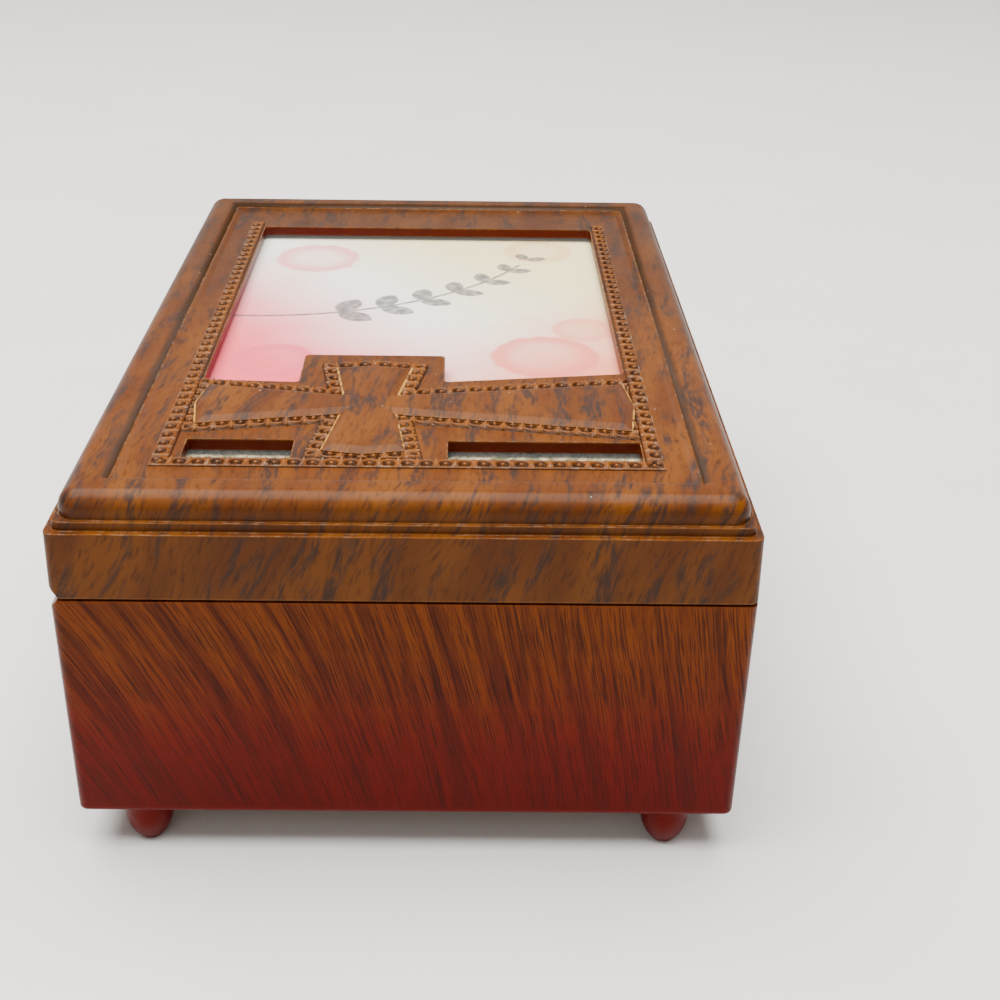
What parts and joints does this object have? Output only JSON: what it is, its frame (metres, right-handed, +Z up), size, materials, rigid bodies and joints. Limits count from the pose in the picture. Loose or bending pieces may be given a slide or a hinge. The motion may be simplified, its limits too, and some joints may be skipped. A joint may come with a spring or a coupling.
{
  "type": "music box",
  "caption": "Rectangular keepsake box with a hinged moulded lid framing a picture and raised cross, small feet, a flocked tray and a wind-up comb movement.",
  "frame": {"origin": "centre of the box on the plane its feet stand on", "axes": "+X along the box away from the cross end, +Y towards the hinges, +Z up"},
  "size_m": [0.1588, 0.108, 0.065],
  "materials": {
    "wood_grain_base": "printed wood grain under satin lacquer",
    "board": "plain fibreboard",
    "screw_steel": "zinc-plated steel",
    "flock": "short brown flock",
    "clear": "clear plastic sheet",
    "brass": "plain brass",
    "wood_grain_lid": "printed wood grain under satin lacquer",
    "print": "pale wash print",
    "cast_zinc": "die-cast zinc",
    "spring_steel": "blued spring steel",
    "steel": "bright steel",
    "white_plastic": "moulded plastic",
    "black_plastic": "moulded plastic"
  },
  "bodies": {
    "base": {"base_shell": "wood_grain_base", "bottom_plate": "board", "bottom_plate_screws": "screw_steel", "tray_liner": "flock", "movement_cover": "clear", "cover_screws": "screw_steel", "base_hinge_leaves": "brass", "base_hinge_screws": "brass", "hinge_pins": "brass", "bedplate": "cast_zinc", "movement_screws": "screw_steel", "spring_barrel": "cast_zinc", "barrel_cover": "brass", "mainspring": "spring_steel", "bearing_bridge": "cast_zinc", "bridge_screws": "screw_steel", "comb_rest": "cast_zinc", "comb": "steel", "comb_screws": "screw_steel", "governor_bracket": "brass", "governor_screws": "screw_steel", "lever_pin": "steel"},
    "lid": {"lid_frame": "wood_grain_lid", "lid_panel": "wood_grain_lid", "glazing": "clear", "picture_print": "print", "backing_card": "board", "lid_liner": "flock", "liner_screws": "screw_steel", "lid_hinge_leaves": "brass", "lid_hinge_screws": "brass"},
    "winding": {"winding_arbor": "steel", "winding_key": "brass", "great_wheel": "brass"},
    "cylinder": {"cylinder": "brass", "cylinder_shaft": "steel", "bevel_pinion": "brass", "cylinder_wheel": "brass"},
    "governor": {"governor_arbor": "steel", "governor_pinion": "brass", "worm_wheel": "white_plastic"},
    "fan": {"worm_shaft": "steel", "worm": "brass", "air_brake": "brass"},
    "plunger": {"stop_plunger": "white_plastic"},
    "lever": {"stop_lever": "black_plastic"}
  },
  "joints": [
    {"name": "lid_hinge", "type": "hinge", "parent": "base", "child": "lid", "pos_m": [0, 0.0524, 0.0482], "axis": [-1, 0, 0], "range_deg": [0, 100]},
    {"name": "stop_plunger_slide", "type": "slide", "parent": "base", "child": "plunger", "axis": [0, 0, 1], "range_m": [0, 0.003]},
    {"name": "stop_lever_pivot", "type": "hinge", "parent": "base", "child": "lever", "pos_m": [-0.0424, 0.0431, 0.0262], "axis": [0, 1, 0], "range_deg": [0, 15]},
    {"name": "cylinder_turn", "type": "hinge", "parent": "base", "child": "cylinder", "pos_m": [-0.047, 0.0247, 0.0276], "axis": [0, 1, 0], "continuous": true},
    {"name": "winding_turn", "type": "hinge", "parent": "base", "child": "winding", "pos_m": [-0.047, 0.003, 0.015], "axis": [0, 0, 1], "continuous": true},
    {"name": "governor_turn", "type": "hinge", "parent": "base", "child": "governor", "pos_m": [-0.0386, 0.0383, 0.0276], "axis": [0, 1, 0], "continuous": true},
    {"name": "fan_turn", "type": "hinge", "parent": "base", "child": "fan", "pos_m": [-0.0335, 0.0383, 0.0276], "axis": [0, 0, 1], "continuous": true}
  ],
  "couplings": [
    {"joint": "stop_plunger_slide", "follows": "lid_hinge", "m_per_rad": 0.0017171},
    {"joint": "stop_lever_pivot", "follows": "lid_hinge", "ratio": 0.14985},
    {"joint": "winding_turn", "follows": "cylinder_turn", "ratio": 0.33333},
    {"joint": "governor_turn", "follows": "cylinder_turn", "ratio": -5},
    {"joint": "fan_turn", "follows": "cylinder_turn", "ratio": -50}
  ]
}
